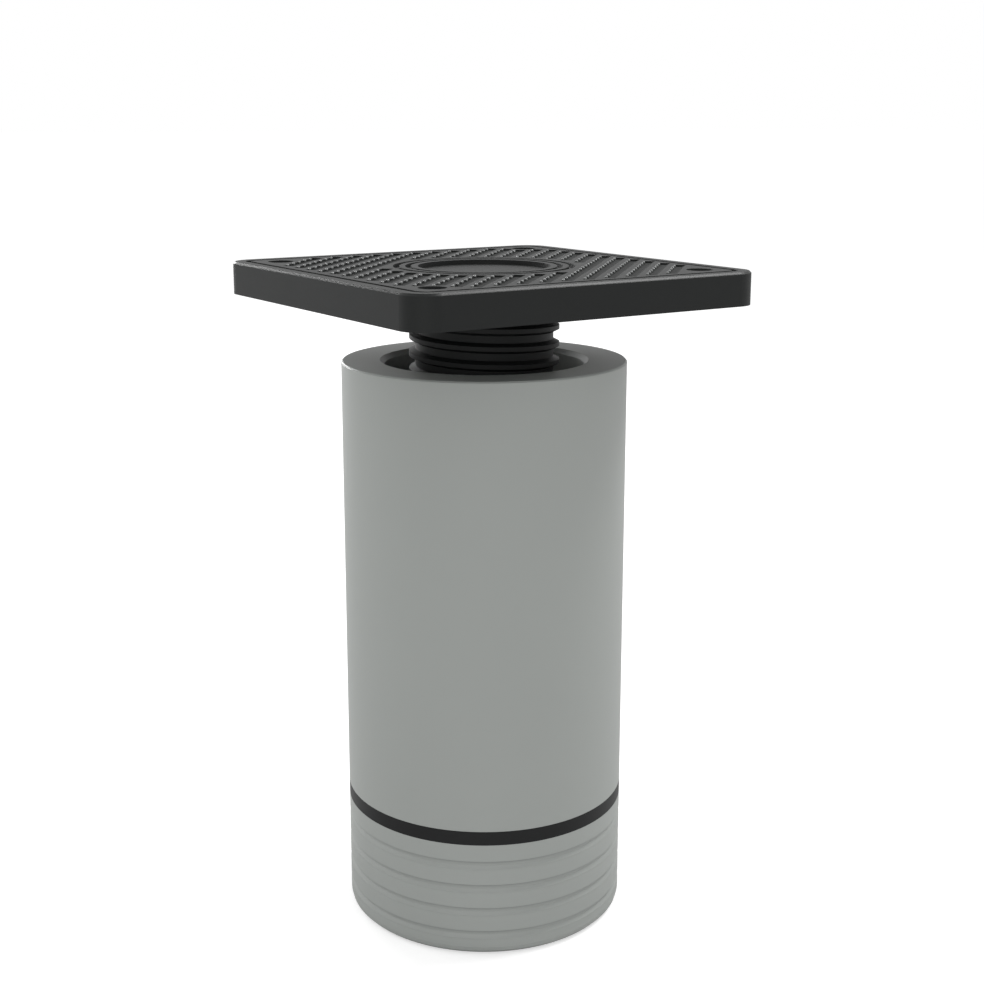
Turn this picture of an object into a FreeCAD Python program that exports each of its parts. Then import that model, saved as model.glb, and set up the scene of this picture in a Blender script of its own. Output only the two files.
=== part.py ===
import FreeCAD, Part
import math
import os
from FreeCAD import Placement, Rotation, Vector

# Adjustable cabinet leg. Millimetres, +Z up, origin at the centre of the foot's sole.
# The plate's sides lie along X and Y. The leg is shown part unscrewed, as it is in use.

# Round leg
legRadius = 25.0
footHeight = 20.6
ringHeight = 2.5
tubeLength = 77.65
plateGap = 10.55

# Mounting plate
plateSide = 67.4
plateThickness = 5.7
plateCornerRadius = 4.65
plateEdgeChamfer = 0.35
screwInset = 7.5
screwHoleRadius = 2.25
screwHeadRadius = 4.4

# Recesses in the plate's top face
rimWidth = 2.2
rimGrooveWidth = 1.0
rimGrooveDepth = 0.5
rimGrooveCorner = 1.6
centreRecessRadius = 11.5
centreRecessDepth = 0.8
ringGrooves = [(12.7, 13.7), (14.7, 15.8)]
ringGrooveDepth = 0.6
plainLandRadius = 17.5
slotPitch = 3.0
slotSteepOffset = 0.75
slotFloorWidth = 1.2
slotSlopeWidth = 0.7
slotDepth = 0.32
slotFieldMargin = 1.4
slotHoleClearance = 1.2
shortestSlot = 4.0

# Coarse left-hand screw between plate and tube
threadPitch = 3.0
threadDepth = 1.05
threadRootWidth = 1.8
threadCrestWidth = 0.75
threadFlankClearance = 0.2
threadRadialClearance = 0.2
threadPhase = 297.0
threadBury = 0.4
threadLeadIn = 1.0
spigotLength = 31.0
spigotWall = 2.4
plateFloor = 3.0

# Threaded insert in the tube's mouth
insertDepth = 4.5
insertLength = 20.0
insertWall = 4.05
insertClearance = 0.05
insertKeyCount = 4
insertKeyWidth = 3.0
insertKeyHeight = 1.2
insertThreadMargin = 1.5
insertThreadLength = 6.0
insertChamfer = 0.8

# Leg tube
tubeWall = 2.5
tubeTopThickness = 3.0
tubeTopBreak = 0.25
mouthStep = 0.1
mouthChamfer = 0.8
sleeveWall = 2.6
sleeveGap = 2.45
ledgeClearance = 1.05
ledgeThickness = 2.0
tubeRibCount = 8
tubeRibThickness = 1.8

# Ring that the tube turns on, snapped into the tube and pressed into the foot
ringRunningClearance = 0.08
ringCollarHeight = 10.0
ringCollarWall = 2.0
snapHeight = 2.4
snapReach = 0.6
snapBelowRim = 0.8
snapClearance = 0.15
snapSlotCount = 8
snapSlotWidth = 1.6
snapSlotDepth = 7.5
ringSkirtDepth = 11.0
ringSkirtWall = 2.0
skirtClearance = 0.05

# Foot
footWall = 3.6
footFloor = 3.0
footEdgeRadius = 1.5
footEdgeSteps = 3
footGrooveCount = 4
footGroovePitch = 4.33
footGrooveTop = 17.57
footGrooveFloor = 0.8
footGrooveSlope = 0.65
footGrooveDepth = 0.42
soleRim = 5.0
soleRecessDepth = 0.5
footRibCount = 6
footRibThickness = 1.8
footRibHeight = 5.0
footRibHubRadius = 5.0

# Heights that follow from the sizes above
ringBottom = footHeight
tubeBottom = ringBottom + ringHeight
tubeTop = tubeBottom + tubeLength
plateBottom = tubeTop + plateGap
plateTop = plateBottom + plateThickness
insertTop = tubeTop - insertDepth
insertBottom = insertTop - insertLength
spigotBottom = plateBottom - spigotLength
tubeBore = legRadius - tubeWall
insertRadius = tubeBore - sleeveGap - sleeveWall - insertClearance
insertBore = insertRadius - insertWall
threadCrestRadius = insertBore - threadRadialClearance
threadRootRadius = threadCrestRadius - threadDepth
mouthRadius = insertRadius + mouthStep
ledgeRadius = threadCrestRadius + ledgeClearance
screwSpacing = plateSide - 2 * screwInset
soleRecessRadius = legRadius - soleRim
snapTop = tubeBottom + ringCollarHeight - snapBelowRim


def cylinder(radius, bottom, top):
    return Part.makeCylinder(radius, top - bottom, Vector(0, 0, bottom))


def tubeShape(outer, inner, bottom, top):
    return cylinder(outer, bottom, top).cut(cylinder(inner, bottom - 1, top + 1))


def revolved(outline):
    """Turn a closed outline of (radius, height) points about the leg's axis."""
    corners = [Vector(radius, 0, height) for radius, height in outline]
    face = Part.Face(Part.makePolygon(corners + corners[:1]))
    return face.revolve(Vector(0, 0, 0), Vector(0, 0, 1), 360)


def around(shape, count, startAngle=0.0):
    """Repeat a shape evenly about the leg's axis."""
    copies = []
    for index in range(count):
        copy = shape.copy()
        copy.rotate(Vector(0, 0, 0), Vector(0, 0, 1), startAngle + 360.0 * index / count)
        copies.append(copy)
    return copies


def roundedSquare(side, radius, bottom, top):
    half = side / 2.0
    block = Part.makeBox(side, side, top - bottom, Vector(-half, -half, bottom))
    uprights = [e for e in block.Edges if abs(e.tangentAt(e.FirstParameter).z) > 0.9]
    return block.makeFillet(radius, uprights)


def threadRidge(baseRadius, tipRadius, baseWidth, tipWidth, bottom, top):
    """Sweep one trapezoid ridge along the left-hand helix that both threads share.

    The helix passes angle threadPhase at the tube's top, so that ridges of any
    length and height stay in mesh. The ridge's base is buried in its wall.
    """
    bury = threadBury if tipRadius > baseRadius else -threadBury
    slope = (baseWidth - tipWidth) / 2.0 / (tipRadius - baseRadius)
    buriedHalf = baseWidth / 2.0 + slope * bury
    corners = [
        Vector(baseRadius - bury, 0, -buriedHalf),
        Vector(tipRadius, 0, -tipWidth / 2.0),
        Vector(tipRadius, 0, tipWidth / 2.0),
        Vector(baseRadius - bury, 0, buriedHalf),
    ]
    profile = Part.makePolygon(corners + corners[:1])
    helix = Part.makeHelix(threadPitch, top - bottom, baseRadius, 0, True)
    ridge = Part.Wire(helix.Edges).makePipeShell([profile], True, True)
    angle = threadPhase - 360.0 * (bottom - tubeTop) / threadPitch
    ridge.Placement = Placement(Vector(0, 0, bottom), Rotation(Vector(0, 0, 1), angle))
    return ridge


def slotCutter(middleB, startA, endA):
    """One slot along the plate's diagonal: a steep side, a floor, and a slope up to the land."""
    floorZ = plateTop - slotDepth
    above = plateTop + 1
    steepSide = slotSteepOffset - middleB
    floorEnd = steepSide - slotFloorWidth
    slopeEnd = floorEnd - slotSlopeWidth
    corners = [
        Vector(startA, steepSide, above),
        Vector(startA, steepSide, floorZ),
        Vector(startA, floorEnd, floorZ),
        Vector(startA, slopeEnd, plateTop),
        Vector(startA, slopeEnd, above),
    ]
    section = Part.Face(Part.makePolygon(corners + corners[:1]))
    slot = section.extrude(Vector(endA - startA, 0, 0))
    slot.rotate(Vector(0, 0, 0), Vector(0, 0, 1), 45)
    return slot


def gripSlots():
    """The slanted rows of slots, stopped at the plain land, the groove and the holes."""
    fieldHalf = plateSide / 2.0 - rimWidth - rimGrooveWidth - slotFieldMargin
    diagonal = fieldHalf * math.sqrt(2)
    holeAlong = screwSpacing / math.sqrt(2)
    holeReach = screwHoleRadius + slotHoleClearance
    slots = []
    rows = int((holeAlong - holeReach) / slotPitch)
    for row in range(-rows, rows + 1):
        middle = row * slotPitch
        outer = diagonal - abs(middle)
        if abs(middle) < holeReach:
            outer = min(outer, holeAlong - math.sqrt(holeReach ** 2 - middle ** 2))
        if abs(middle) >= plainLandRadius:
            if 2 * outer > shortestSlot:
                slots.append(slotCutter(middle, -outer, outer))
            continue
        inner = math.sqrt(plainLandRadius ** 2 - middle ** 2)
        if outer - inner > shortestSlot:
            slots.append(slotCutter(middle, inner, outer))
            slots.append(slotCutter(middle, -outer, -inner))
    return slots


def rimGroove():
    outer = plateSide - 2 * rimWidth
    inner = outer - 2 * rimGrooveWidth
    top = plateTop + 1
    bottom = plateTop - rimGrooveDepth
    outerBlock = roundedSquare(outer, rimGrooveCorner + rimGrooveWidth, bottom, top)
    return outerBlock.cut(roundedSquare(inner, rimGrooveCorner, bottom - 1, top + 1))


def screwHoles():
    half = screwSpacing / 2.0
    headDepth = screwHeadRadius - screwHoleRadius
    cutters = []
    for x in (-half, half):
        for y in (-half, half):
            foot = Vector(x, y, plateBottom - 1)
            cutters.append(Part.makeCylinder(screwHoleRadius, plateThickness + 2, foot))
            seat = Vector(x, y, plateBottom)
            cutters.append(Part.makeCone(screwHeadRadius, screwHoleRadius, headDepth, seat))
    return cutters


def mountingPlate():
    """Square plate and hollow threaded spigot, moulded as one."""
    plate = roundedSquare(plateSide, plateCornerRadius, plateBottom, plateTop)
    rims = [e for e in plate.Edges if abs(e.CenterOfMass.z - plateTop) < 0.01]
    plate = plate.makeChamfer(plateEdgeChamfer, rims)
    core = revolved([
        (0, plateTop - plateFloor),
        (threadRootRadius, plateTop - plateFloor),
        (threadRootRadius, spigotBottom + threadLeadIn),
        (threadRootRadius - threadLeadIn / 2.0, spigotBottom),
        (0, spigotBottom),
    ])
    ridge = threadRidge(
        threadRootRadius,
        threadCrestRadius,
        threadRootWidth,
        threadCrestWidth,
        spigotBottom + threadLeadIn + threadRootWidth / 2.0,
        plateBottom + threadRootWidth,
    )
    solid = plate.fuse(core.fuse(ridge))
    cutters = gripSlots() + screwHoles() + [rimGroove()]
    cutters.append(cylinder(centreRecessRadius, plateTop - centreRecessDepth, plateTop + 1))
    for inner, outer in ringGrooves:
        cutters.append(tubeShape(outer, inner, plateTop - ringGrooveDepth, plateTop + 1))
    boreRadius = threadRootRadius - spigotWall
    cutters.append(cylinder(boreRadius, spigotBottom - 1, plateTop - plateFloor))
    return solid.cut(Part.makeCompound(cutters))


def insertKeys(extra):
    """Keys that stop the insert turning, or with extra, the pockets they sit in."""
    reach = insertRadius + insertKeyHeight + extra
    width = insertKeyWidth + 2 * extra
    bottom = insertBottom + ledgeThickness
    top = insertTop - 2 * ledgeThickness
    corner = Vector(threadCrestRadius, -width / 2.0, bottom)
    key = Part.makeBox(reach - threadCrestRadius, width, top - bottom + extra, corner)
    trimmed = key.cut(cylinder(insertRadius - 1.0, bottom - 1, top + 2))
    return around(trimmed, insertKeyCount, 45.0)


def threadedInsert():
    """Black nut that the plate's spigot screws into."""
    outline = [
        (insertBore, insertBottom),
        (insertRadius, insertBottom),
        (insertRadius, insertTop),
        (insertBore + insertChamfer, insertTop),
        (insertBore, insertTop - insertChamfer),
    ]
    body = revolved(outline)
    baseWidth = threadPitch - threadCrestWidth - 2 * threadFlankClearance
    flankSlope = (threadRootWidth - threadCrestWidth) / (threadCrestRadius - threadRootRadius)
    baseWidth += flankSlope * threadRadialClearance
    tipRadius = threadRootRadius + threadRadialClearance
    tipWidth = baseWidth - flankSlope * (insertBore - tipRadius)
    ridge = threadRidge(
        insertBore,
        tipRadius,
        baseWidth,
        tipWidth,
        insertTop - insertThreadMargin - insertThreadLength,
        insertTop - insertThreadMargin,
    )
    ridge.rotate(Vector(0, 0, 0), Vector(0, 0, 1), 180.0)
    return body.multiFuse(insertKeys(0.0)).fuse(ridge)


def legTube():
    """Grey tube: outer wall, closed top with the mouth, and an inner sleeve on ribs."""
    sleeveInner = insertRadius + insertClearance
    sleeveOuter = sleeveInner + sleeveWall
    sleeveBottom = insertBottom - ledgeThickness
    underTop = tubeTop - tubeTopThickness
    shell = revolved([
        (tubeBore, tubeBottom),
        (legRadius, tubeBottom),
        (legRadius, tubeTop - tubeTopBreak),
        (legRadius - tubeTopBreak, tubeTop),
        (mouthRadius + mouthChamfer, tubeTop),
        (mouthRadius, tubeTop - mouthChamfer),
        (mouthRadius, insertTop),
        (sleeveInner, insertTop),
        (sleeveInner, insertBottom),
        (ledgeRadius, insertBottom),
        (ledgeRadius, sleeveBottom),
        (sleeveOuter, sleeveBottom),
        (sleeveOuter, underTop),
        (tubeBore, underTop),
    ])
    ribLength = tubeBore - sleeveOuter + 2
    ribCorner = Vector(sleeveOuter - 1, -tubeRibThickness / 2.0, sleeveBottom)
    rib = Part.makeBox(ribLength, tubeRibThickness, underTop - sleeveBottom + 1, ribCorner)
    solid = shell.multiFuse(around(rib, tubeRibCount))
    solid = solid.cut(Part.makeCompound(insertKeys(insertClearance)))
    groove = tubeShape(
        tubeBore + snapReach + snapClearance,
        tubeBore - 1,
        snapTop - snapHeight - snapClearance,
        snapTop + snapClearance,
    )
    return solid.cut(groove)


def pivotRing():
    """Black ring: the band seen between tube and foot, its snap collar and its skirt."""
    collarOuter = tubeBore - ringRunningClearance
    collarTop = tubeBottom + ringCollarHeight
    skirtOuter = legRadius - footWall - skirtClearance
    snapOuter = tubeBore + snapReach
    outline = [
        (collarOuter - ringCollarWall, ringBottom + ringHeight / 2.0),
        (skirtOuter - ringSkirtWall, ringBottom),
        (skirtOuter - ringSkirtWall, ringBottom - ringSkirtDepth),
        (skirtOuter, ringBottom - ringSkirtDepth),
        (skirtOuter, ringBottom),
        (legRadius, ringBottom),
        (legRadius, tubeBottom),
        (collarOuter, tubeBottom),
        (collarOuter, snapTop - snapHeight),
        (snapOuter, snapTop - snapHeight + snapReach / 2.0),
        (snapOuter, snapTop - snapHeight / 2.0),
        (collarOuter, snapTop),
        (collarOuter, collarTop),
        (collarOuter - ringCollarWall, collarTop),
    ]
    ring = revolved(outline)
    corner = Vector(0, -snapSlotWidth / 2.0, collarTop - snapSlotDepth)
    slot = Part.makeBox(legRadius, snapSlotWidth, snapSlotDepth + 1, corner)
    return ring.cut(Part.makeCompound(around(slot, snapSlotCount)))


def footOutline():
    """Outer edge of the foot, from the sole up: rounded edge, then the undercut grooves."""
    inner = legRadius - footEdgeRadius
    outline = []
    for step in range(footEdgeSteps + 1):
        turn = math.pi / 2.0 * step / footEdgeSteps
        across = footEdgeRadius * math.sin(turn)
        up = footEdgeRadius * (1 - math.cos(turn))
        outline.append((inner + across, up))
    for index in reversed(range(footGrooveCount)):
        top = footGrooveTop - index * footGroovePitch
        outline.append((legRadius, top - footGrooveFloor - footGrooveSlope))
        outline.append((legRadius - footGrooveDepth, top - footGrooveFloor))
        outline.append((legRadius - footGrooveDepth, top))
        outline.append((legRadius, top))
    outline.append((legRadius, footHeight))
    return outline


def foot():
    """Grey grooved cup that stands on the floor."""
    socket = legRadius - footWall
    outline = footOutline()
    outline += [
        (socket, footHeight),
        (socket, footFloor),
        (0.0, footFloor),
        (0.0, soleRecessDepth),
        (soleRecessRadius, soleRecessDepth),
        (soleRecessRadius + soleRecessDepth, 0.0),
    ]
    cup = revolved(outline)
    hub = cylinder(footRibHubRadius, footFloor - 0.5, footFloor + footRibHeight)
    ribCorner = Vector(0, -footRibThickness / 2.0, footFloor - 0.5)
    rib = Part.makeBox(socket + 0.5, footRibThickness, footRibHeight + 0.5, ribCorner)
    return cup.multiFuse([hub] + around(rib, footRibCount))


def main():
    os.makedirs("parts", exist_ok=True)
    pieces = {
        "mounting_plate": mountingPlate(),
        "threaded_insert": threadedInsert(),
        "leg_tube": legTube(),
        "pivot_ring": pivotRing(),
        "foot": foot(),
    }
    for name, shape in pieces.items():
        solid = shape.removeSplitter().Solids
        print(name, "solids", len(solid), "valid", shape.isValid(), "volume", round(shape.Volume, 1))
        solid[0].exportStep(os.path.join("parts", name + ".step"))


main()
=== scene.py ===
import bpy
import math
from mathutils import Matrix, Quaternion, Vector


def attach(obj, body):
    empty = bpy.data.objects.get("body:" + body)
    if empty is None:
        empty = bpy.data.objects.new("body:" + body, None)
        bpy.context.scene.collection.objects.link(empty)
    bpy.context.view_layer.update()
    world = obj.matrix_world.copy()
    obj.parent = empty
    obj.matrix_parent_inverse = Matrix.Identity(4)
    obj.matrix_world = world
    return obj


# Lengths are in metres in the part's own frame, and colours are linear.
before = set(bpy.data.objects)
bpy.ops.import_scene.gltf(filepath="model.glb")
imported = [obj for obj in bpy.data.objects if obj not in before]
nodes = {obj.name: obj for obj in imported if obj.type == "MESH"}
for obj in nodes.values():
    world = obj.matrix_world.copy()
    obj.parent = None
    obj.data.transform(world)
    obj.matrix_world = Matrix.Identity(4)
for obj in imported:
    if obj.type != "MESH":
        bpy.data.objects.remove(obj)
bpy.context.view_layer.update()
scene = bpy.context.scene
plateTop = 0.1170
white = (1, 1, 1, 1)


class Signal:
    def __init__(self, tree, socket):
        self.tree = tree
        self.socket = socket

    def apply(self, operation, first, second=None):
        node = self.tree.nodes.new("ShaderNodeMath")
        node.operation = operation
        for index, value in enumerate((first, second)):
            if isinstance(value, Signal):
                self.tree.links.new(value.socket, node.inputs[index])
            elif value is not None:
                node.inputs[index].default_value = value
        return Signal(self.tree, node.outputs[0])

    def __add__(self, other):
        return self.apply("ADD", self, other)

    def __radd__(self, other):
        return self.apply("ADD", other, self)

    def __sub__(self, other):
        return self.apply("SUBTRACT", self, other)

    def __rsub__(self, other):
        return self.apply("SUBTRACT", other, self)

    def __mul__(self, other):
        return self.apply("MULTIPLY", self, other)

    def __rmul__(self, other):
        return self.apply("MULTIPLY", other, self)

    def __truediv__(self, other):
        return self.apply("DIVIDE", self, other)

    def __rtruediv__(self, other):
        return self.apply("DIVIDE", other, self)

    def __pow__(self, other):
        return self.apply("POWER", self, other)

    def __abs__(self):
        return self.apply("ABSOLUTE", self)

    def below(self, limit):
        return self.apply("LESS_THAN", self, limit)

    def above(self, limit):
        return self.apply("GREATER_THAN", self, limit)


# Sockets go by name, or by number where a node has several of one name. A node
# given as a value is linked by its first output.
def makeNode(tree, kind, settings=None, numbered=None, **named):
    node = tree.nodes.new(kind)
    for name, value in (settings or {}).items():
        setattr(node, name, value)
    sockets = {name.replace("_", " "): value for name, value in named.items()}
    sockets.update(numbered or {})
    for key, value in sockets.items():
        if isinstance(value, bpy.types.Node):
            value = Signal(tree, value.outputs[0])
        if isinstance(value, Signal):
            tree.links.new(value.socket, node.inputs[key])
        else:
            node.inputs[key].default_value = value
    return node


def axesOf(tree, vector):
    split = makeNode(tree, "ShaderNodeSeparateXYZ", Vector=vector)
    return [Signal(tree, socket) for socket in split.outputs]


# 1 at an offset of nought, falling smoothly to 0 a few units off.
def hump(offset):
    return offset.apply("EXPONENT", -1 * (offset * offset))


def sunkMask(tree, place, recess):
    x, y, z = axesOf(tree, place)
    farX, farY = abs(x), abs(y)
    inside = farX.apply("MAXIMUM", farX, farY).below(recess["reach"])
    offCorner = (farX + farY).below(recess["cornerReach"])
    return inside * offCorner * z.below(recess["top"]) * z.above(recess["bottom"])


def edgeMask(tree, place, edge):
    height = axesOf(tree, place)[2]
    surface = makeNode(tree, "ShaderNodeNewGeometry")
    tilt = axesOf(tree, Signal(tree, surface.outputs["True Normal"]))[2]
    leaning = tilt.above(edge["leastTilt"]) * tilt.below(edge["mostTilt"])
    return height.above(edge["bottom"]) * leaning


# Painted shade for the foot's grooves (a dark line under each edge and a soft band
# lower down), and the slope's mask, which only polishes.
def paintedGrooveShade(tree, place, grooves):
    height = axesOf(tree, place)[2]
    drop = (grooves["top"] - height) / grooves["pitch"]
    depth = (drop - drop.apply("FLOOR", drop)) * grooves["pitch"]
    onFoot = drop.above(0) * drop.below(grooves["count"])
    line = hump(depth / grooves["lineWidth"])
    band = hump((depth - grooves["bandDrop"]) / grooves["bandWidth"])
    slope = hump((depth - grooves["slopeDrop"]) / grooves["slopeWidth"])
    paintedShade = grooves["paintedLineShade"] * line + grooves["paintedBandShade"] * band
    return onFoot * paintedShade, onFoot * slope


# The colour sockets of a Mix node, whose names are shared with its other kinds.
mixSockets = {"share": 0, "first": 6, "second": 7, "result": 2}


def mixedColour(tree, share, first, second):
    first, second = (
        colour if isinstance(colour, Signal) else (*colour, 1)
        for colour in (first, second)
    )
    numbered = {
        mixSockets["share"]: share,
        mixSockets["first"]: first,
        mixSockets["second"]: second,
    }
    mixed = makeNode(tree, "ShaderNodeMix", {"data_type": "RGBA"}, numbered)
    return Signal(tree, mixed.outputs[mixSockets["result"]])


def noise(tree, place, scale, detail):
    node = makeNode(
        tree, "ShaderNodeTexNoise", Vector=place, Scale=scale, Detail=detail
    )
    return Signal(tree, node.outputs[0])


def mouldedPlastic(name, look):
    material = bpy.data.materials.new(name)
    material.use_nodes = True
    tree = material.node_tree
    tree.nodes.clear()
    coordinates = makeNode(tree, "ShaderNodeTexCoord")
    place = Signal(tree, coordinates.outputs["Object"])
    cloudy = noise(tree, place, look["cloudScale"], look["cloudDetail"])
    grainy = noise(tree, place, look["grainScale"], look["grainDetail"])
    dark = [value * (1 - look["tone"]) for value in look["colour"]]
    light = [value * (1 + look["tone"]) for value in look["colour"]]
    colour = mixedColour(tree, cloudy, dark, light)
    rough = look["roughness"] + look["roughnessSpread"] * (cloudy + grainy - 1.0)
    if "recess" in look:
        sunk = sunkMask(tree, place, look["recess"])
        rough = rough + sunk * look["recess"]["extraRoughness"]
        # Painted light: the sunk floors and walls get a lighter colour, which lifts
        # their shade.
        colour = mixedColour(tree, sunk, colour, look["recess"]["colour"])
    if "edge" in look:
        rough = rough - edgeMask(tree, place, look["edge"]) * look["edge"]["polish"]
    if "grooves" in look:
        # The foot's grooves are darkened here with painted shade.
        paintedShade, slope = paintedGrooveShade(tree, place, look["grooves"])
        rough = rough - slope * look["grooves"]["slopePolish"]
        colour = mixedColour(tree, paintedShade, colour, look["grooves"]["colour"])
    bump = makeNode(
        tree,
        "ShaderNodeBump",
        Height=grainy,
        Strength=look["grainStrength"],
        Distance=look["grainDepth"],
    )
    shader = makeNode(
        tree,
        "ShaderNodeBsdfPrincipled",
        Base_Color=colour,
        Roughness=rough,
        Normal=bump,
        Specular_IOR_Level=look["gloss"],
    )
    makeNode(tree, "ShaderNodeOutputMaterial", Surface=shader)
    return material


greyLook = {
    "colour": (0.338, 0.355, 0.340),
    "tone": 0.015,
    "cloudScale": 60.0,
    "cloudDetail": 3.0,
    "grainScale": 5200.0,
    "grainDetail": 2.0,
    "grainStrength": 0.3,
    "grainDepth": 0.00002,
    "roughness": 0.44,
    "roughnessSpread": 0.06,
    "gloss": 0.45,
}
# Each groove of the foot has painted shade: a fine dark line under its edge, where
# the overhang shades it, and a soft darker band at the slope's foot. The slope
# between is smoother.
footLook = dict(
    greyLook,
    grooves={
        "top": 0.01757,
        "pitch": 0.00433,
        "count": 4,
        "lineWidth": 0.00042,
        "paintedLineShade": 0.45,
        "bandDrop": 0.00140,
        "bandWidth": 0.00030,
        "paintedBandShade": 0.09,
        "slopeDrop": 0.00110,
        "slopeWidth": 0.00040,
        "slopePolish": 0.12,
        # The colour of the painted shade in the grooves.
        "colour": (0.090, 0.096, 0.090),
    },
)
blackLook = {
    "colour": (0.0100, 0.0112, 0.0109),
    "tone": 0.06,
    "cloudScale": 80.0,
    "cloudDetail": 3.0,
    "grainScale": 4200.0,
    "grainDetail": 2.0,
    "grainStrength": 0.15,
    "grainDepth": 0.00002,
    "roughness": 0.48,
    "roughnessSpread": 0.06,
    "gloss": 0.27,
}
# The slots, ring grooves and centre recess are duller than the plate's face, and
# its top edge is smoother. Their lighter colour is painted light that lifts the shade
# in them.
plateLook = dict(
    blackLook,
    edge={
        "bottom": plateTop - 0.00025,
        "leastTilt": 0.50,
        "mostTilt": 0.88,
        "polish": 0.12,
    },
    recess={
        "reach": 0.0330,
        "cornerReach": 0.0640,
        "top": plateTop - 0.00006,
        "bottom": plateTop - 0.00040,
        # Lighter than the face: painted light in the sunk areas.
        "colour": (0.0125, 0.0138, 0.0134),
        "extraRoughness": 0.22,
    },
)
ringLook = dict(blackLook, colour=(0.0060, 0.0065, 0.0068), roughness=0.5, gloss=0.3)
# The nubs are the same black plastic; their light grey colour is a painted glint.
nubGlintLook = dict(blackLook, colour=(0.210, 0.218, 0.214), roughness=0.26, gloss=1.0)
# The insert is a black part; its lighter grey is painted light, lifting the shade
# inside the tube's mouth.
insertPaintedLightLook = dict(blackLook, colour=(0.034, 0.036, 0.0355), roughness=0.7, gloss=0.2)

looks = {
    "mounting_plate": mouldedPlastic("black_plastic", plateLook),
    "threaded_insert": mouldedPlastic("black_insert", insertPaintedLightLook),
    "leg_tube": mouldedPlastic("grey_plastic", greyLook),
    "pivot_ring": mouldedPlastic("black_ring", ringLook),
    "foot": mouldedPlastic("grey_foot", footLook),
}
for name, material in looks.items():
    slots = nodes[name].material_slots
    if not slots:
        nodes[name].data.materials.append(material)
    for slot in slots:
        slot.material = material
print("materials done")


# The nubs beside the slots. Along and across are the rows' own directions, and
# the reaches keep the rim, the ring grooves and the screw holes free.
bumps = {
    "Row Pitch": 0.0030,
    "Bump Pitch": 0.00305,
    "Rows": 23,
    "Bumps Per Row": 27,
    "Along Shift": 0.0003,
    "Across Shift": 0.00070,
    "Bump Radius": 0.00026,
    "Centre Height": plateTop - 0.00010,
    "Field Reach": 0.04085,
    "Land Radius": 0.0179,
    "Hole Along": 0.03705,
    "Hole Reach": 0.0037,
}
ballMesh = {"Segments": 12, "Rings": 8}
rowTurn = math.radians(45)


def bumpTree(material):
    tree = bpy.data.node_groups.new("gripBumps", "GeometryNodeTree")
    face = tree.interface
    face.new_socket("Geometry", in_out="OUTPUT", socket_type="NodeSocketGeometry")
    for name, value in bumps.items():
        kind = "NodeSocketInt" if isinstance(value, int) else "NodeSocketFloat"
        face.new_socket(name, in_out="INPUT", socket_type=kind)
    source = makeNode(tree, "NodeGroupInput")
    size = {name: Signal(tree, source.outputs[name]) for name in bumps}
    grid = makeNode(
        tree,
        "GeometryNodeMeshGrid",
        Size_X=(size["Bumps Per Row"] - 1) * size["Bump Pitch"],
        Size_Y=(size["Rows"] - 1) * size["Row Pitch"],
        Vertices_X=size["Bumps Per Row"],
        Vertices_Y=size["Rows"],
    )
    gridX, across, _ = axesOf(tree, makeNode(tree, "GeometryNodeInputPosition"))
    along = gridX + size["Along Shift"]
    farAlong, farAcross = abs(along), abs(across)
    inField = (farAlong + farAcross).below(size["Field Reach"])
    offLand = (along**2 + across**2).above(size["Land Radius"] ** 2)
    nearEnd = (farAlong - size["Hole Along"]) ** 2 + across**2
    nearSide = along**2 + (farAcross - size["Hole Along"]) ** 2
    nearest = along.apply("MINIMUM", nearEnd, nearSide)
    offHoles = nearest.above(size["Hole Reach"] ** 2)
    kept = makeNode(
        tree,
        "GeometryNodeDeleteGeometry",
        {"domain": "POINT"},
        Geometry=grid,
        Selection=1 - inField * offLand * offHoles,
    )
    shift = makeNode(
        tree, "ShaderNodeCombineXYZ", X=size["Along Shift"], Y=size["Across Shift"]
    )
    moved = makeNode(tree, "GeometryNodeSetPosition", Geometry=kept, Offset=shift)
    ball = makeNode(
        tree, "GeometryNodeMeshUVSphere", Radius=size["Bump Radius"], **ballMesh
    )
    smooth = makeNode(tree, "GeometryNodeSetShadeSmooth", Geometry=ball)
    rows = makeNode(
        tree, "GeometryNodeInstanceOnPoints", Points=moved, Instance=smooth
    )
    lift = makeNode(tree, "ShaderNodeCombineXYZ", Z=size["Centre Height"])
    turned = makeNode(
        tree,
        "GeometryNodeTransform",
        Geometry=rows,
        Translation=lift,
        Rotation=(0, 0, rowTurn),
    )
    real = makeNode(tree, "GeometryNodeRealizeInstances", Geometry=turned)
    coated = makeNode(
        tree, "GeometryNodeSetMaterial", Geometry=real, Material=material
    )
    makeNode(tree, "NodeGroupOutput", Geometry=coated)
    return tree


def makeBumps():
    carrier = bpy.data.objects.new("bumpCarrier", bpy.data.meshes.new("bumpCarrier"))
    scene.collection.objects.link(carrier)
    # The nubs' light grey colour is a painted glint.
    tree = bumpTree(mouldedPlastic("nubs_painted_glint", nubGlintLook))
    modifier = carrier.modifiers.new("gripBumps", "NODES")
    modifier.node_group = tree
    for item in tree.interface.items_tree:
        if item.in_out == "INPUT":
            modifier[item.identifier] = bumps[item.name]
    depsgraph = bpy.context.evaluated_depsgraph_get()
    mesh = bpy.data.meshes.new_from_object(carrier.evaluated_get(depsgraph))
    bpy.data.objects.remove(carrier)
    obj = bpy.data.objects.new("grip_bumps", mesh)
    scene.collection.objects.link(obj)
    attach(obj, "plate")
    print("bumps", len(mesh.polygons))


makeBumps()


# The glow makes the floor white to the camera only, so it lights nothing.
room = {
    "floorSide": 40.0,
    "floorDrop": 0.0001,
    "floorColour": 0.65,
    "floorGlow": 0.53,
    "worldLight": 0.75,
    "cameraWhite": 1.0,
}


def seenByCamera(tree):
    path = makeNode(tree, "ShaderNodeLightPath")
    return Signal(tree, path.outputs["Is Camera Ray"])


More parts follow.
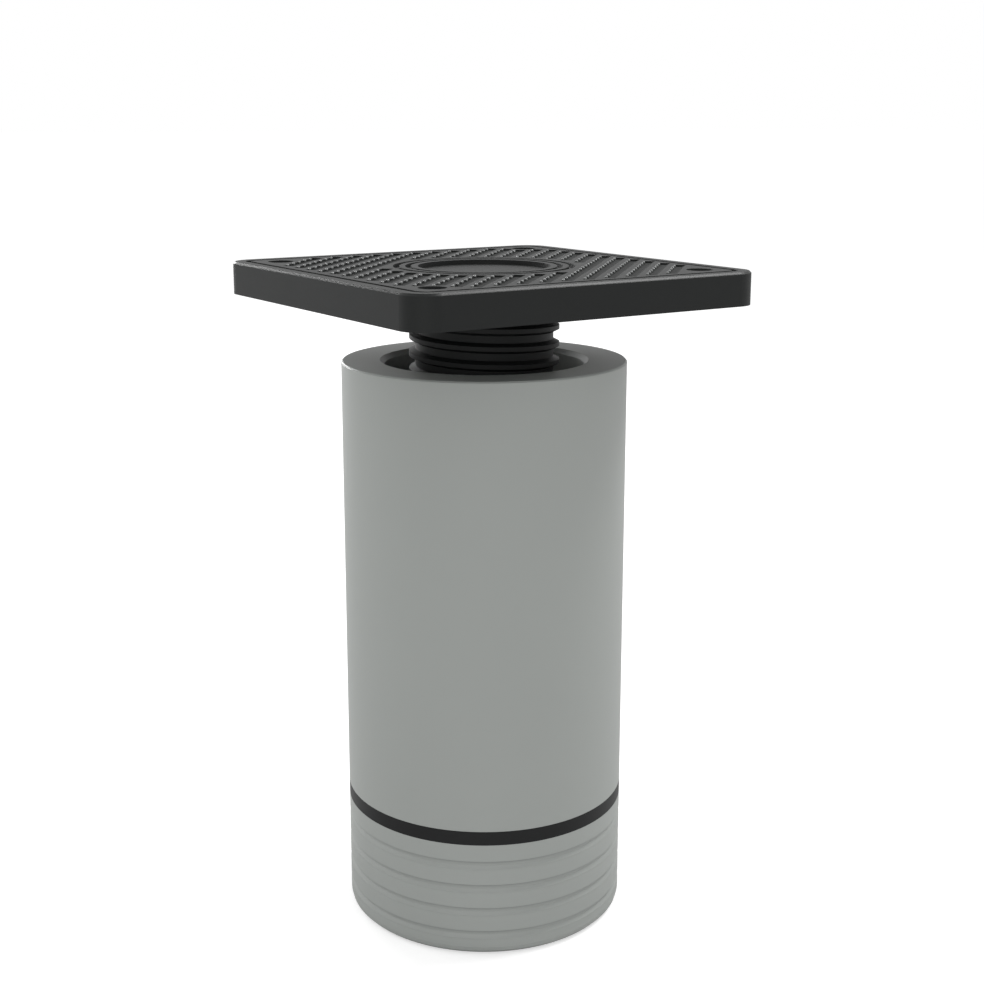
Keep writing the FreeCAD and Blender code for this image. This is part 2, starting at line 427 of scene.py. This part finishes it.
def makeFloor():
    half = room["floorSide"] / 2
    mesh = bpy.data.meshes.new("floor")
    corners = [(-half, -half, 0), (half, -half, 0), (half, half, 0), (-half, half, 0)]
    mesh.from_pydata(corners, [], [(0, 1, 2, 3)])
    floor = bpy.data.objects.new("floor", mesh)
    scene.collection.objects.link(floor)
    floor.location.z = -room["floorDrop"]
    material = bpy.data.materials.new("floor")
    material.use_nodes = True
    tree = material.node_tree
    tree.nodes.clear()
    grey = (*[room["floorColour"]] * 3, 1)
    plain = makeNode(tree, "ShaderNodeBsdfDiffuse", Color=grey)
    strength = room["floorGlow"] * seenByCamera(tree)
    glow = makeNode(tree, "ShaderNodeEmission", Color=white, Strength=strength)
    both = makeNode(tree, "ShaderNodeAddShader", numbered={0: plain, 1: glow})
    makeNode(tree, "ShaderNodeOutputMaterial", Surface=both)
    mesh.materials.append(material)


def makeWorld():
    world = bpy.data.worlds.new("studio")
    world.use_nodes = True
    tree = world.node_tree
    tree.nodes.clear()
    extra = room["cameraWhite"] - room["worldLight"]
    strength = room["worldLight"] + seenByCamera(tree) * extra
    sky = makeNode(tree, "ShaderNodeBackground", Color=white, Strength=strength)
    makeNode(tree, "ShaderNodeOutputWorld", Surface=sky)
    scene.world = world


# Turn and down are in degrees, and the shifts are shares of the picture's side.
shot = {
    "at": (-0.14396, -0.22239, 0.14138),
    "turn": -33.1,
    "down": 12.26,
    "sensor": 36.0,
    "lens": 55.76,
    "shiftX": 0.003,
    "shiftY": -0.04,
    "nearest": 0.01,
}


def makeCamera():
    camera = bpy.data.cameras.new("camera")
    camera.sensor_width = shot["sensor"]
    camera.lens = shot["lens"]
    camera.shift_x = shot["shiftX"]
    camera.shift_y = shot["shiftY"]
    camera.clip_start = shot["nearest"]
    obj = bpy.data.objects.new("camera", camera)
    obj.location = shot["at"]
    tilt = math.radians(90 - shot["down"])
    obj.rotation_euler = (tilt, 0, math.radians(shot["turn"]))
    scene.collection.objects.link(obj)
    scene.camera = obj


# Lamp places are to the camera's right, away from the camera, and up, and the
# rolls are in degrees. All lamps face the middle of the leg.
legMiddle = Vector((0, 0, 0.06))
lamps = {
    "front": {
        "at": (-0.10, -0.95, 0.42),
        "width": 0.9,
        "height": 0.6,
        "watts": 1.4,
        "roll": 0,
    },
    "left": {
        "at": (-0.46, 0.78, 0.26),
        "width": 0.24,
        "height": 0.3,
        "watts": 2.3,
        "roll": 0,
    },
    "strip": {
        "at": (-0.77, 0.34, 0.45),
        "width": 0.6,
        "height": 0.13,
        "watts": 1.6,
        "roll": 36,
    },
    "above": {
        "at": (0.45, 0.20, 0.75),
        "width": 0.25,
        "height": 0.25,
        "watts": 2.9,
        "roll": 0,
    },
}


def makeLamp(name, lamp):
    light = bpy.data.lights.new(name, "AREA")
    light.shape = "RECTANGLE"
    light.size = lamp["width"]
    light.size_y = lamp["height"]
    light.energy = lamp["watts"]
    obj = bpy.data.objects.new(name, light)
    turn = math.radians(shot["turn"])
    right = Vector((math.cos(turn), math.sin(turn), 0))
    ahead = Vector((-math.sin(turn), math.cos(turn), 0))
    across, away, up = lamp["at"]
    obj.location = across * right + away * ahead + Vector((0, 0, up))
    facing = (legMiddle - obj.location).to_track_quat("-Z", "Y")
    roll = Quaternion((0, 0, 1), math.radians(lamp["roll"]))
    obj.rotation_euler = (facing @ roll).to_euler()
    scene.collection.objects.link(obj)


makeCamera()
makeFloor()
makeWorld()
for name, lamp in lamps.items():
    makeLamp(name, lamp)
scene.view_settings.view_transform = "Standard"
print("studio and camera done")
